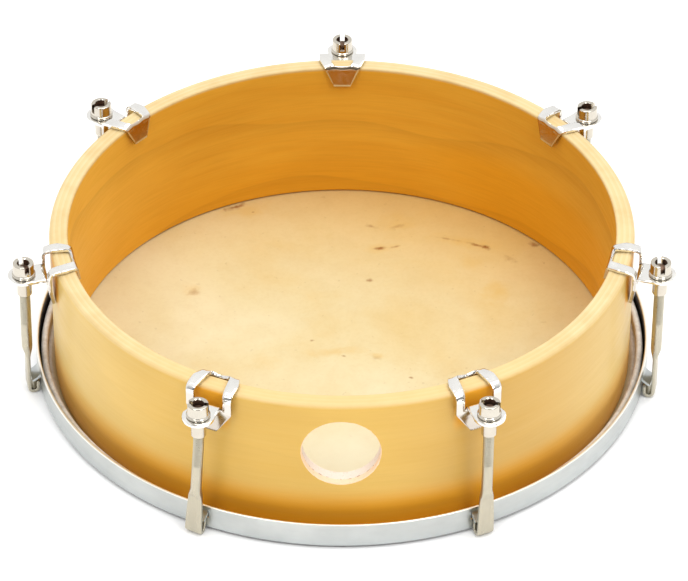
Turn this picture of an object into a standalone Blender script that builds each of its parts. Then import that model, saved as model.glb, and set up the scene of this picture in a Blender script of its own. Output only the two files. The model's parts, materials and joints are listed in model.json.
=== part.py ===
"""Single-headed tunable hand drum, lying on its head with the open side up.

Metres, +Z up. The origin is the centre of the playing face, on the drum's axis.
The hoops, the tucked skin and the hooks slide along Z as the nuts are turned.
"""
from math import cos, pi, radians, sin, tau

import bmesh
import bpy
from mathutils import Matrix

# Fits: pieces that touch keep GAP between them
GAP = 0.0003
THREAD_CLEARANCE = 0.0004

# Facets: sides of rings and holes, and steps round bends and edges
RING_SEGMENTS = 84
GRIP_HOLE_SIDES = 32
EAR_HOLE_SIDES = 24
NUT_SIDES = 16
HOOK_SIDES = 12
HOOK_BEND_STEPS = 6
BEND_STEPS = 3
EDGE_STEPS = 2
WRAP_STEPS = 1
EAR_COLUMNS = 3
SHARP_EDGE = radians(35)
WELD = 1e-7

# Ply shell, with a round grip hole in its wall
SHELL_RADIUS = 0.150
SHELL_WALL = 0.0095
SHELL_HEIGHT = 0.0817
RIM_ROUND = 0.0012
BEARING_ROUND = 0.0025
BEARING_BEVEL = 0.0010
GRIP_HOLE_DIAMETER = 0.0408
GRIP_HOLE_BELOW_RIM = 0.0292
GRIP_HOLE_ANGLE = radians(269.9)

# Skin: the playing face with its turned-up collar, and the edge tucked round the flesh hoop
SKIN = 0.0006
COLLAR_HEIGHT = 0.0050
TUCK_STANDOFF = 0.0023

# Flesh hoop: a flat steel ring on edge
FLESH_HOOP_WIDTH = 0.0020
FLESH_HOOP_HEIGHT = 0.0060
FLESH_HOOP_ROUND = 0.0007

# Counter hoop: an angle-section steel band with a lanced tongue for each hook
HOOP_SHEET = 0.0015
HOOP_HEIGHT = 0.0143
HOOP_RISE = 0.0010
HOOP_CLEARANCE = 0.0011
FLANGE_LIP = 0.0006
TONGUE_BELOW_EDGE = 0.0011
TONGUE_DROP = 0.0062
TONGUE_OUT = 0.0026
TONGUE_SIDE = 0.0005
TONGUE_SLOT = 0.0003

# Tension hooks: a threaded rod flattened to a blade, with its end bent up behind the tongue
# Lugs are hung on the rim by hand, so LUG_ANGLES, in degrees, aren't quite evenly spaced
LUG_ANGLES = (90, 140.9, 192.9, 245.1, 295.7, 347.5, 38.0)
HOOK_OUT = 0.0057
HOOK_RISE = 0.0003
ROD_DIAMETER = 0.0055
ROD_TOP_BELOW_NUT = 0.0052
ROD_CHAMFER = 0.0006
BLADE_WIDTH = 0.0089
BLADE_THICKNESS = 0.0020
BLADE_TOP = 0.0243
SHOULDER_LENGTH = 0.0061
BAR_SQUARENESS = 6

# Brackets: pressed sheet saddles over the open rim, with an ear for the nut; the outer leg
# stands off the wall by LEG_STANDOFF, and its tab leans back to it
BRACKET_SHEET = 0.0015
LEG_STANDOFF = 0.0030
EAR_BELOW_RIM = 0.0054
EAR_BEND = 0.0010
EAR_RADIUS = 0.0081
WINDOW_OUTER_WIDTH = 0.0154
WINDOW_INNER_WIDTH = 0.0115
WINDOW_RELIEF = 0.0005
ARM_OUTER_WIDTH = 0.0042
ARM_INNER_WIDTH = 0.0043
INNER_TAB_LENGTH = 0.0104
INNER_TAB_END = 0.0088
OUTER_TAB_TAPER = 0.0140
OUTER_TAB_END = 0.0054
TAB_END_CLEAR = 0.0020

# Slotted sleeve nuts; NUT_TURNS is how far round each was left, in degrees
NUT_HEAD_HEIGHT = 0.0061
NUT_HEAD_WALL = 0.0024
NUT_HEAD_ROUND = 0.0006
NUT_COLLAR_HEIGHT = 0.0012
NUT_COLLAR_STEP = 0.0006
NUT_SLEEVE_WALL = 0.0006
NUT_SLEEVE_BELOW_EAR = 0.0103
NUT_SLEEVE_CHAMFER = 0.0003
NUT_SLOT_WIDTH = 0.0030
NUT_SLOT_DEPTH = 0.0045
NUT_TURNS = (0, 75, 20, 145, 50, 110, 165)

# Radii, working out from the shell
shell_inner = SHELL_RADIUS - SHELL_WALL
collar_outer = SHELL_RADIUS + GAP + SKIN
tuck_inner = collar_outer + TUCK_STANDOFF
flesh_inner = tuck_inner + SKIN + GAP
flesh_outer = flesh_inner + FLESH_HOOP_WIDTH
tuck_outer = flesh_outer + GAP + SKIN
hoop_inner = tuck_outer + HOOP_CLEARANCE
hoop_outer = hoop_inner + HOOP_SHEET
flange_inner = tuck_inner - FLANGE_LIP
rod_axis = hoop_outer + HOOK_OUT

# Heights, working up from the playing face
shell_bottom = SKIN + GAP
rim = shell_bottom + SHELL_HEIGHT
hoop_top = HOOP_RISE + HOOP_HEIGHT
flange_top = HOOP_RISE + HOOP_SHEET
tuck_bottom = flange_top + GAP
flesh_bottom = tuck_bottom + SKIN + GAP
flesh_top = flesh_bottom + FLESH_HOOP_HEIGHT
tongue_top = hoop_top - TONGUE_BELOW_EDGE
tongue_bottom = tongue_top - TONGUE_DROP
ear_top = rim - EAR_BELOW_RIM
ear_bottom = ear_top - BRACKET_SHEET

# Nut sizes, working out from the rod
rod_radius = ROD_DIAMETER / 2
nut_bore = rod_radius + THREAD_CLEARANCE
nut_sleeve = nut_bore + NUT_SLEEVE_WALL
nut_head = nut_bore + NUT_HEAD_WALL
nut_collar = nut_head + NUT_COLLAR_STEP
nut_seat = ear_top + GAP
nut_top = nut_seat + NUT_COLLAR_HEIGHT + NUT_HEAD_HEIGHT
ear_hole = nut_sleeve + GAP
rod_top = nut_top - ROD_TOP_BELOW_NUT


def clear_scene():
    for old in list(bpy.data.objects):
        bpy.data.objects.remove(old, do_unlink=True)


def finish(name, colour, roughness, metallic=0.0):
    """A plain surface with the piece's colour, roughness and metallic value."""
    material = bpy.data.materials.new(name)
    material.use_nodes = True
    shader = material.node_tree.nodes["Principled BSDF"]
    shader.inputs["Base Color"].default_value = (*colour, 1.0)
    shader.inputs["Roughness"].default_value = roughness
    shader.inputs["Metallic"].default_value = metallic
    return material


def to_mesh(name, bm):
    """Close a bmesh into a mesh with outward faces and smooth round sides."""
    bmesh.ops.remove_doubles(bm, verts=bm.verts, dist=WELD)
    bmesh.ops.recalc_face_normals(bm, faces=bm.faces)
    mesh = bpy.data.meshes.new(name)
    bm.to_mesh(mesh)
    bm.free()
    smooth(mesh)
    return mesh


def smooth(mesh):
    mesh.shade_smooth()
    mesh.set_sharp_from_angle(angle=SHARP_EDGE)


def add(name, mesh, material=None, parent=None):
    piece = bpy.data.objects.new(name, mesh)
    bpy.context.scene.collection.objects.link(piece)
    piece.parent = parent
    if material and not mesh.materials:
        mesh.materials.append(material)
    return piece


def add_tool(name, mesh):
    """A shape that only cuts or joins another piece."""
    tool = add(name, mesh)
    tool.hide_render = True
    tool.display_type = "WIRE"
    return tool


def combine(piece, tool, operation):
    step = piece.modifiers.new(tool.name, "BOOLEAN")
    step.object = tool
    step.operation = operation
    step.solver = "EXACT"
    return step


def freeze(piece):
    """The piece's shape with its modifiers worked in; the piece itself is removed."""
    bpy.context.view_layer.update()
    shaped = piece.evaluated_get(bpy.context.evaluated_depsgraph_get())
    mesh = bpy.data.meshes.new_from_object(shaped)
    bpy.data.objects.remove(piece, do_unlink=True)
    smooth(mesh)
    return mesh


def arc(centre, radius, start, end, steps):
    """Points (r, z) on an arc, from one angle in degrees to another."""
    turns = [radians(start + (end - start) * i / steps) for i in range(steps + 1)]
    return [(centre[0] + radius * cos(a), centre[1] + radius * sin(a)) for a in turns]


def turned(name, profile, closed=True, sides=RING_SEGMENTS):
    """A mesh turned about Z from a profile of (r, z) points."""
    bm = bmesh.new()
    points = [bm.verts.new((r, 0, z)) for r, z in profile]
    ends = points[1:] + points[:1] if closed else points[1:]
    edges = [bm.edges.new(pair) for pair in zip(points, ends)]
    bmesh.ops.spin(bm, geom=points + edges, cent=(0, 0, 0), axis=(0, 0, 1), angle=tau,
                   steps=sides, use_merge=True)
    return to_mesh(name, bm)


def add_prism(bm, outline, half_width, turn):
    """Extrude an (r, z) outline sideways and turn it about Z to its lug."""
    face = bm.faces.new([bm.verts.new((r, -half_width, z)) for r, z in outline])
    side = bmesh.ops.extrude_face_region(bm, geom=[face])
    moved = [part for part in side["geom"] if isinstance(part, bmesh.types.BMVert)]
    bmesh.ops.translate(bm, verts=moved, vec=(0, 2 * half_width, 0))
    both = list(face.verts) + moved
    bmesh.ops.rotate(bm, verts=both, cent=(0, 0, 0), matrix=Matrix.Rotation(turn, 3, "Z"))


def add_grid(bm, rows):
    """Quads between rows of points; rows have equal numbers of points."""
    rings = [[bm.verts.new(p) for p in row] for row in rows]
    for lower, upper in zip(rings, rings[1:]):
        for i in range(len(lower) - 1):
            bm.faces.new((lower[i], lower[i + 1], upper[i + 1], upper[i]))


def make_shell(material):
    """Bent ply cylinder: rounded rim, rounded outer bearing edge, grip hole."""
    bearing = (SHELL_RADIUS - BEARING_ROUND, shell_bottom + BEARING_ROUND)
    outer = arc(bearing, BEARING_ROUND, -90, 0, BEND_STEPS)
    rim_outer = arc((SHELL_RADIUS - RIM_ROUND, rim - RIM_ROUND), RIM_ROUND, 0, 90, EDGE_STEPS)
    rim_inner = arc((shell_inner + RIM_ROUND, rim - RIM_ROUND), RIM_ROUND, 90, 180, EDGE_STEPS)
    bevel = [(shell_inner, shell_bottom + BEARING_BEVEL), (shell_inner + BEARING_BEVEL, shell_bottom)]
    shell = add("shell", turned("shell", outer + rim_outer + rim_inner + bevel), material)
    bm = bmesh.new()
    bmesh.ops.create_cone(bm, cap_ends=True, segments=GRIP_HOLE_SIDES, radius1=GRIP_HOLE_DIAMETER / 2,
                          radius2=GRIP_HOLE_DIAMETER / 2, depth=4 * SHELL_WALL)
    bmesh.ops.rotate(bm, verts=bm.verts, cent=(0, 0, 0), matrix=Matrix.Rotation(pi / 2, 3, "Y"))
    hole = add_tool("grip_hole_cutter", to_mesh("grip_hole_cutter", bm))
    middle = SHELL_RADIUS - SHELL_WALL / 2
    hole.location = (middle * cos(GRIP_HOLE_ANGLE), middle * sin(GRIP_HOLE_ANGLE), rim - GRIP_HOLE_BELOW_RIM)
    hole.rotation_euler.z = GRIP_HOLE_ANGLE
    combine(shell, hole, "DIFFERENCE")


def make_head(material):
    """Playing face, turned up round the bearing edge into a short collar."""
    bend = (SHELL_RADIUS - BEARING_ROUND, shell_bottom + BEARING_ROUND)
    below = arc(bend, BEARING_ROUND + GAP + SKIN, -90, 0, BEND_STEPS)
    above = arc(bend, BEARING_ROUND + GAP, 0, -90, BEND_STEPS)
    top = [(collar_outer, COLLAR_HEIGHT), (collar_outer - SKIN, COLLAR_HEIGHT)]
    profile = [(0, 0)] + below + top + above + [(0, SKIN)]
    add("drum_head", turned("drum_head", profile, closed=False), material)


def make_tuck(material, slide):
    """The skin's edge, wrapped under, up and over the flesh hoop and tucked down inside it."""
    wrap = SKIN + GAP
    outer_low = arc((tuck_outer - wrap, tuck_bottom + wrap), wrap, -90, 0, WRAP_STEPS)
    outer_high = arc((tuck_outer - wrap, flesh_top), wrap, 0, 90, WRAP_STEPS)
    inner_high = arc((tuck_inner + wrap, flesh_top), wrap, 90, 180, WRAP_STEPS)
    tail = flesh_bottom + FLESH_HOOP_HEIGHT / 2
    tail_end = [(tuck_inner, tail), (tuck_inner + SKIN, tail)]
    under_skin = [
        (flesh_inner - GAP, flesh_top + GAP),
        (flesh_outer + GAP, flesh_top + GAP),
        (flesh_outer + GAP, flesh_bottom - GAP),
        (tuck_inner, flesh_bottom - GAP),
    ]
    profile = [(tuck_inner, tuck_bottom)] + outer_low + outer_high + inner_high + tail_end + under_skin
    add("head_tuck", turned("head_tuck", profile), material, slide)


def make_flesh_hoop(material, slide):
    cut = FLESH_HOOP_ROUND
    profile = [
        (flesh_inner + cut, flesh_bottom), (flesh_outer - cut, flesh_bottom),
        (flesh_outer, flesh_bottom + cut), (flesh_outer, flesh_top - cut),
        (flesh_outer - cut, flesh_top), (flesh_inner + cut, flesh_top),
        (flesh_inner, flesh_top - cut), (flesh_inner, flesh_bottom + cut),
    ]
    add("flesh_hoop", turned("flesh_hoop", profile), material, slide)


def make_counter_hoop(material, slide):
    """Angle-section band; a tongue is lanced out of it above each hook's end."""
    profile = [
        (flange_inner, HOOP_RISE), (hoop_outer, HOOP_RISE), (hoop_outer, hoop_top),
        (hoop_inner, hoop_top), (hoop_inner, flange_top), (flange_inner, flange_top),
    ]
    hoop = add("counter_hoop", turned("counter_hoop", profile), material, slide)
    tongue_half = BLADE_WIDTH / 2 + TONGUE_SIDE
    third = HOOP_SHEET / 3
    window = [
        (hoop_inner - HOOP_SHEET, tongue_bottom),
        (hoop_outer + HOOP_SHEET, tongue_bottom),
        (hoop_outer + HOOP_SHEET, tongue_top - HOOP_SHEET),
        (hoop_inner - HOOP_SHEET, tongue_top - HOOP_SHEET),
    ]
    tongue = [
        (hoop_inner + third, tongue_top), (hoop_outer - third, tongue_top),
        (hoop_outer + TONGUE_OUT, tongue_bottom), (hoop_outer + TONGUE_OUT - HOOP_SHEET, tongue_bottom),
        (hoop_inner + third, tongue_top - HOOP_SHEET - third),
    ]
    windows = bmesh.new()
    tongues = bmesh.new()
    for angle in LUG_ANGLES:
        add_prism(windows, window, tongue_half + TONGUE_SLOT, radians(angle))
        add_prism(tongues, tongue, tongue_half, radians(angle))
    combine(hoop, add_tool("tongue_windows", to_mesh("tongue_windows", windows)), "DIFFERENCE")
    combine(hoop, add_tool("tongues", to_mesh("tongues", tongues)), "UNION")


def hook_ring(centre, down, half_width, half_thick, squareness):
    """A section across the hook: round at squareness 2, a rounded bar above that."""
    ring = []
    for i in range(HOOK_SIDES):
        a = tau * i / HOOK_SIDES
        side = abs(cos(a)) ** (2 / squareness) * (1 if cos(a) > 0 else -1)
        face = abs(sin(a)) ** (2 / squareness) * (1 if sin(a) > 0 else -1)
        out = half_thick * face
        ring.append((centre[0] - down[1] * out, half_width * side, centre[1] + down[0] * out))
    return ring


def hook_mesh():
    """Rod from the top down, flattened, bent inwards under the band and up behind the tongue."""
    thick = BLADE_THICKNESS / 2
    wide = BLADE_WIDTH / 2
    lip_axis = hoop_outer + GAP + thick
    bend = (rod_axis - lip_axis) / 2
    bend_height = HOOK_RISE + thick + bend
    down = (0, -1)
    shoulder_top = BLADE_TOP + SHOULDER_LENGTH
    rings = [
        hook_ring((rod_axis, rod_top), down, rod_radius - ROD_CHAMFER, rod_radius - ROD_CHAMFER, 2),
        hook_ring((rod_axis, rod_top - ROD_CHAMFER), down, rod_radius, rod_radius, 2),
        hook_ring((rod_axis, shoulder_top), down, rod_radius, rod_radius, 2),
        hook_ring((rod_axis, BLADE_TOP), down, wide, thick, BAR_SQUARENESS),
    ]
    for i, spot in enumerate(arc((rod_axis - bend, bend_height), bend, 0, -180, HOOK_BEND_STEPS)):
        a = -pi * i / HOOK_BEND_STEPS
        rings.append(hook_ring(spot, (sin(a), -cos(a)), wide, thick, BAR_SQUARENESS))
    rings.append(hook_ring((lip_axis, tongue_bottom - GAP), (0, 1), wide, thick, BAR_SQUARENESS))
    bm = bmesh.new()
    add_grid(bm, [ring + ring[:1] for ring in rings])
    bmesh.ops.remove_doubles(bm, verts=bm.verts, dist=WELD)
    ends = [edge for edge in bm.edges if edge.is_boundary]
    bmesh.ops.holes_fill(bm, edges=ends)
    return to_mesh("tension_hook", bm)


def on_wall(r, across, z):
    """A point on the curved wall, with the distance across measured at the shell's outside."""
    a = across / SHELL_RADIUS
    return (r * cos(a), r * sin(a), z)


def bracket_mesh():
    """One pressed sheet: inner tab, two arms over the rim, outer tab and the ear bent out of it."""
    inside = shell_inner - GAP
    outside = SHELL_RADIUS + GAP
    leg = outside + LEG_STANDOFF
    corner = RIM_ROUND + GAP
    inner_bend = arc((shell_inner + RIM_ROUND, rim - RIM_ROUND), corner, 180, 90, BEND_STEPS)
    outer_bend = arc((leg - corner, rim - RIM_ROUND), corner, 90, 0, BEND_STEPS)
    ear_fold = EAR_BEND + BRACKET_SHEET
    root = ear_top - ear_fold
    inner_window = WINDOW_INNER_WIDTH / 2
    outer_window = WINDOW_OUTER_WIDTH / 2
    inner_half = inner_window + ARM_INNER_WIDTH
    outer_half = outer_window + ARM_OUTER_WIDTH
    ear_half = outer_window - WINDOW_RELIEF
    bm = bmesh.new()

    tab_rows = [((inside, rim - INNER_TAB_LENGTH), INNER_TAB_END / 2)]
    tab_rows += [(spot, inner_half) for spot in inner_bend]
    inner_rows = []
    for (r, z), half in tab_rows:
        slit = half * inner_window / inner_half
        inner_rows.append([on_wall(r, t, z) for t in (-half, -slit, 0, slit, half)])
    add_grid(bm, inner_rows)

    for side in (-1, 1):
        arm = [(inner_bend[-1], inner_window, inner_half)]
        arm += [(spot, outer_window, outer_half) for spot in outer_bend]
        arm += [((leg, root), outer_window, outer_half)]
        add_grid(bm, [[on_wall(r, side * t, z) for t in (near, far)] for (r, z), near, far in arm])

    shares = [i / EAR_COLUMNS for i in range(-EAR_COLUMNS, EAR_COLUMNS + 1)]
    taper_top = root - TAB_END_CLEAR
    outer_rows = []
    for r, z, half in (
        (leg, root, outer_half),
        (leg, taper_top, outer_half),
        (outside, taper_top - OUTER_TAB_TAPER, OUTER_TAB_END / 2),
    ):
        slit = half * outer_window / outer_half
        middle = [share * slit * ear_half / outer_window for share in shares]
        outer_rows.append([on_wall(r, t, z) for t in [-half, -slit] + middle + [slit, half]])
    add_grid(bm, outer_rows)

    ear_rows = [[on_wall(leg, share * ear_half, root) for share in shares]]
    for r, z in arc((leg + ear_fold, root), ear_fold, 180, 90, BEND_STEPS)[1:]:
        ear_rows.append([(r, share * ear_half, z) for share in shares])
    ear_rows.append([(rod_axis, share * EAR_RADIUS, ear_top) for share in shares])
    turns = [share * pi / 2 for share in shares]
    ear_rows.append([(rod_axis + EAR_RADIUS * cos(a), EAR_RADIUS * sin(a), ear_top) for a in turns])
    add_grid(bm, ear_rows)

    bmesh.ops.remove_doubles(bm, verts=bm.verts, dist=WELD)
    bmesh.ops.dissolve_degenerate(bm, edges=bm.edges, dist=WELD)
    bracket = add("bracket", to_mesh("bracket", bm))
    sheet = bracket.modifiers.new("sheet", "SOLIDIFY")
    sheet.thickness = BRACKET_SHEET
    sheet.use_even_offset = True
    sheet.offset = 1 if faces_outwards(bracket.data) else -1
    bm = bmesh.new()
    bmesh.ops.create_cone(bm, cap_ends=True, segments=EAR_HOLE_SIDES, radius1=ear_hole, radius2=ear_hole,
                          depth=4 * BRACKET_SHEET)
    hole = add_tool("ear_hole_cutter", to_mesh("ear_hole_cutter", bm))
    hole.location = (rod_axis, 0, ear_top - BRACKET_SHEET / 2)
    combine(bracket, hole, "DIFFERENCE")
    mesh = freeze(bracket)
    bpy.data.objects.remove(hole, do_unlink=True)
    return mesh


def faces_outwards(mesh):
    """True where the sheet's top faces point up, away from the rim."""
    highest = max(mesh.polygons, key=lambda face: face.center.z)
    return highest.normal.z > 0


def nut_mesh():
    """Sleeve nut about its own axis: sleeve, collar, round head and a slot across the top."""
    collar_top = nut_seat + NUT_COLLAR_HEIGHT
    sleeve_end = ear_bottom - NUT_SLEEVE_BELOW_EAR
    profile = [
        (nut_bore, sleeve_end), (nut_sleeve - NUT_SLEEVE_CHAMFER, sleeve_end),
        (nut_sleeve, sleeve_end + NUT_SLEEVE_CHAMFER), (nut_sleeve, nut_seat),
        (nut_collar, nut_seat), (nut_collar, collar_top - NUT_COLLAR_STEP), (nut_head, collar_top),
        (nut_head, nut_top - NUT_HEAD_ROUND), (nut_head - NUT_HEAD_ROUND, nut_top), (nut_bore, nut_top),
    ]
    nut = add("nut", turned("nut", profile, sides=NUT_SIDES))
    bm = bmesh.new()
    bmesh.ops.create_cube(bm, size=1)
    bmesh.ops.scale(bm, verts=bm.verts, vec=(3 * nut_head, NUT_SLOT_WIDTH, 2 * NUT_SLOT_DEPTH))
    bmesh.ops.translate(bm, verts=bm.verts, vec=(0, 0, nut_top))
    slot = add_tool("nut_slot_cutter", to_mesh("nut_slot_cutter", bm))
    combine(nut, slot, "DIFFERENCE")
    mesh = freeze(nut)
    bpy.data.objects.remove(slot, do_unlink=True)
    return mesh


def main():
    clear_scene()
    wood = finish("amber_ply", (0.78, 0.46, 0.14), 0.35)
    hide = finish("natural_hide", (0.86, 0.68, 0.42), 0.6)
    tucked_hide = finish("tucked_hide", (0.62, 0.53, 0.40), 0.6)
    flesh_steel = finish("flesh_hoop_steel", (0.45, 0.44, 0.42), 0.45, 1.0)
    hoop_steel = finish("hoop_steel", (0.64, 0.66, 0.66), 0.3, 1.0)
    hook_nickel = finish("hook_nickel", (0.64, 0.60, 0.50), 0.3, 1.0)
    bracket_chrome = finish("bracket_chrome", (0.80, 0.80, 0.79), 0.12, 1.0)
    nut_chrome = finish("nut_chrome", (0.78, 0.77, 0.73), 0.15, 1.0)

    slide = bpy.data.objects.new("tension_slide", None)
    bpy.context.scene.collection.objects.link(slide)

    make_shell(wood)
    make_head(hide)
    make_tuck(tucked_hide, slide)
    make_flesh_hoop(flesh_steel, slide)
    make_counter_hoop(hoop_steel, slide)

    hook = hook_mesh()
    bracket = bracket_mesh()
    nut = nut_mesh()
    for number, (lug_angle, nut_turn) in enumerate(zip(LUG_ANGLES, NUT_TURNS), 1):
        angle = radians(lug_angle)
        add(f"tension_hook_{number}", hook, hook_nickel, slide).rotation_euler.z = angle
        add(f"bracket_{number}", bracket, bracket_chrome).rotation_euler.z = angle
        tuner = add(f"tuning_nut_{number}", nut, nut_chrome)
        tuner.location = (rod_axis * cos(angle), rod_axis * sin(angle), 0)
        tuner.rotation_euler.z = angle + radians(nut_turn)


main()
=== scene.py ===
"""Looks of a tunable hand drum: lacquered ply, hide, galvanised hoop and plated hardware.

Metres, +Z up, in the part's own frame: the origin is the centre of the playing face.
"""
import json
from math import asin, atan2, copysign, cos, hypot, pi, radians, sin, sqrt, tau

import bmesh
import bpy
from mathutils import Matrix, Vector, noise


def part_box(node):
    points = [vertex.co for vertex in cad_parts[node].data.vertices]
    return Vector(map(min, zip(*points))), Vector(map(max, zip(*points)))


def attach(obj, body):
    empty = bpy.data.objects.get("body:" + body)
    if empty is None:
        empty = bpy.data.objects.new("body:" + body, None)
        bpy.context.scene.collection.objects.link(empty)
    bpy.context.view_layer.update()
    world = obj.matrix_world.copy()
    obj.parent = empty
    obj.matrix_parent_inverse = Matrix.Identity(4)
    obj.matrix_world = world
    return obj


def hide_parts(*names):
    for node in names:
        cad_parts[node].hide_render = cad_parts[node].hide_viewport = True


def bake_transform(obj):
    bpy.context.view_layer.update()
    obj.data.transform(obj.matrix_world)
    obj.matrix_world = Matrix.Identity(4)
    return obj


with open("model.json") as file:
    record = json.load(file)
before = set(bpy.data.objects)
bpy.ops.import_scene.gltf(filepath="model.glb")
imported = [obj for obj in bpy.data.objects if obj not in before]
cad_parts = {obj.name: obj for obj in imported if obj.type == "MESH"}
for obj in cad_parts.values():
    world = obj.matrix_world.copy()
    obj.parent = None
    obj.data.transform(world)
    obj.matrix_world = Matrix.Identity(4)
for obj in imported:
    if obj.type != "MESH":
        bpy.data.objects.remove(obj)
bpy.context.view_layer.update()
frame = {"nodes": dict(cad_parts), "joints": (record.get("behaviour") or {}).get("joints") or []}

# Camera, fitted to the rim, the head and the nuts in the photograph
PHOTO_WIDTH_PIXELS = 688
FOCAL_PIXELS = 4213.1
SENSOR_MM = 36.0
CAMERA_RISE = radians(37.367)
CAMERA_ROLL = radians(0.059)
CAMERA_DISTANCE = 2.1858
CAMERA_TARGET = (0.00107, 0, 0.0391)

# Stage: world fades are axis, from, to, strength at each; lights are name, place, diameter, watts
FLOOR_HALF = 4.0
FLOOR_GAP = 0.0003
FLOOR_GLOW = 0.08
WORLD_FADES = (
    ("Y", -0.95, -0.1, 0.18, 0.95),
    ("Z", 0.4, 0.9, 0.0, 0.1),
)
LIGHTS = (
    ("overhead", (0.2, 0.1, 1.9), 1.8, 15),
    ("left", (-0.85, -1.25, 1.6), 0.7, 9.2),
    ("right", (0.85, -1.25, 1.6), 0.7, 11.0),
)

# Facets
RING_SEGMENTS = 288
WALL_ROWS = 26
HOLE_STEPS = 144
TONGUE_STEPS = 8
HOOK_SIDES = 32
THREAD_STEPS = 8
SHOULDER_STEPS = 10
BLADE_STEPS = 6
FOOT_STEPS = 12
TAB_STEPS = 7
ARM_STEPS = 4
EAR_STEPS = 6
NECK_STEPS = 4
EAR_END_STEPS = 3
NUT_SIDES = 48
SHARP_EDGE = radians(38)
HIDE_SHARP_EDGE = radians(60)
METAL_SHARP_EDGE = radians(50)
WELD = 1e-6

# Ply shell; noise chips the edge of its grip hole
SHELL_WALL = 0.0095
BEARING_ROUND = 0.0025
BEARING_BEVEL = 0.001
RIM_OUTER_ROUND = 0.0026
RIM_INNER_ROUND = 0.0009
PLY = 0.00136
HOLE_RADIUS = 0.0194
HOLE_BELOW_RIM = 0.0292
HOLE_ANGLE = radians(269.9)
HOLE_EDGE = 0.0004
HOLE_CHIP = 0.0002
CHIP_WAVES = 9
CHIP_LAYER = 3
CHIP_LEVEL = 0.5
CUTTER_REACH = 0.001
TORN_DEPTH = 0.0036
FACES_OUT = 0.9

# Hide; it leaves the bearing edge SKIN_LEAVES degrees above the level
SKIN = 0.0006
GAP = 0.0003
SKIN_LEAVES = 40
SKIN_FILLET = 0.001
FLESH_WIDTH = 0.002
WRAP_ROUND = 0.0013
TUCK_TAIL = 0.003
PUCKER = 0.00016
PUCKERS_PER_METRE = 260
FINE_PUCKER = 0.5
FINE_PER_METRE = 2.3 * PUCKERS_PER_METRE
PUCKER_OUT = 0.6
PUCKER_UP = 0.8

# Counter hoop; a tongue hangs from its root, swings out and dips to its tip
HOOP_SHEET = 0.0015
HOOP_BEND = 0.0022
HOOP_INNER_BEND = 0.0007
HOOP_EDGE_ROUND = 0.0006
HOOP_CLEARANCE = 0.0011
FLANGE_LIP = 0.0006
TONGUE_HALF = 0.00495
TONGUE_SLOT = 0.0003
TONGUE_SHEET = 0.0013
TONGUE_ROOT_DROP = 0.0012
TONGUE_HANG = 0.0024
TONGUE_SWING = 0.0022
TONGUE_DIP = 0.0017
WINDOW_TOP_DROP = 0.0026
WINDOW_BOTTOM_DROP = 0.0073

# Hooks; tops and ends are heights above the playing face
ROD_RADIUS = 0.00275
ROD_CHAMFER = 0.0006
ROD_SUNK = 0.0028
THREAD_PITCH = 0.001
THREAD_DEPTH = 0.00022
THREAD_STEEPNESS = 1.2
THREAD_END = 0.045
THREAD_FADE = 0.0015
SHOULDER_TOP = 0.0304
BLADE_TOP = 0.0236
BLADE_TOP_HALF = 0.0037
BLADE_HALF = 0.00445
BLADE_THICK_HALF = 0.001
ROUND = 2
BLADE_SQUARENESS = 7
LIP_TOP = 0.0077
LIP_OUT = 0.0013
LIP_ROUND = 0.0005
DOWN = (0, -1)
UP = (0, 1)

# How far each hook's foot stands aside of its lug; the rod bends below its nut
LEAN_GAP = 0.001
LEAN_BEND = 0.006
FOOT_SHIFTS = (-0.0015, -0.0015, -0.004, -0.0039, -0.0005, -0.0005, -0.0015)

# Brackets: the outer leg stands off the wall, and its tab leans back to it
BRACKET_SHEET = 0.0015
BRACKET_EDGE = 0.00028
INNER_BEND = 0.001
OUTER_BEND = 0.0021
ARM_BOW = 0.0005
BEND_WAVE = 0.0009
BEND_WAVE_WIDTH = 0.9
WINDOW_ROUNDNESS = 3
LEG_STANDOFF = 0.003
INNER_TAB_LENGTH = 0.0098
INNER_TAB_LEAN = 0.0018
EAR_FOLD = 0.0025
TAPER_BELOW_FOLD = 0.002
EAR_HALF = 0.0071
EAR_RADIUS = 0.0081
EAR_HOLE = 0.00405
EAR_SHARES = [i / EAR_STEPS for i in range(-EAR_STEPS, EAR_STEPS + 1)]

# Rows along a bracket's path where its parts begin
ROW_BEND = 8
ROW_WINDOW_END = 12.5
ROW_TOP = 14
ROW_WINDOW_SIDE = 15
ROW_MIDDLE = 19
ROW_OUTER = 24
ROW_LEG = 30
ROW_ROOT = 34
ROW_TAPER = 36
ROW_END = 44

# Half-widths of the sheet and its window at some of those rows
SHEET_HALVES = (
    (0, 0.0049), (ROW_BEND, 0.0097), (ROW_TOP, 0.011), (ROW_MIDDLE, 0.0126),
    (ROW_OUTER, 0.0123), (ROW_LEG, 0.0118), (ROW_TAPER, 0.0118), (ROW_END, 0.0027),
)
WINDOW_HALVES = (
    (0, 0.0025), (ROW_TOP, 0.0056), (ROW_MIDDLE, 0.0064),
    (ROW_LEG, 0.0077), (ROW_TAPER, 0.0077), (ROW_END, 0.0018),
)

# Slotted sleeve nuts, each with its slot turned to so many degrees
NUT_BORE = 0.00315
NUT_SLEEVE = 0.00375
NUT_HEAD = 0.0053
NUT_COLLAR = 0.006
NUT_COLLAR_HEIGHT = 0.0013
NUT_ROUND = 0.0006
NUT_EDGE = 0.0003
NUT_SLOT_WIDTH = 0.0024
NUT_SLOT_DEPTH = 0.0045
NUT_TURNS = (0, 75, 102, 105, 50, 110, 165)

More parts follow.
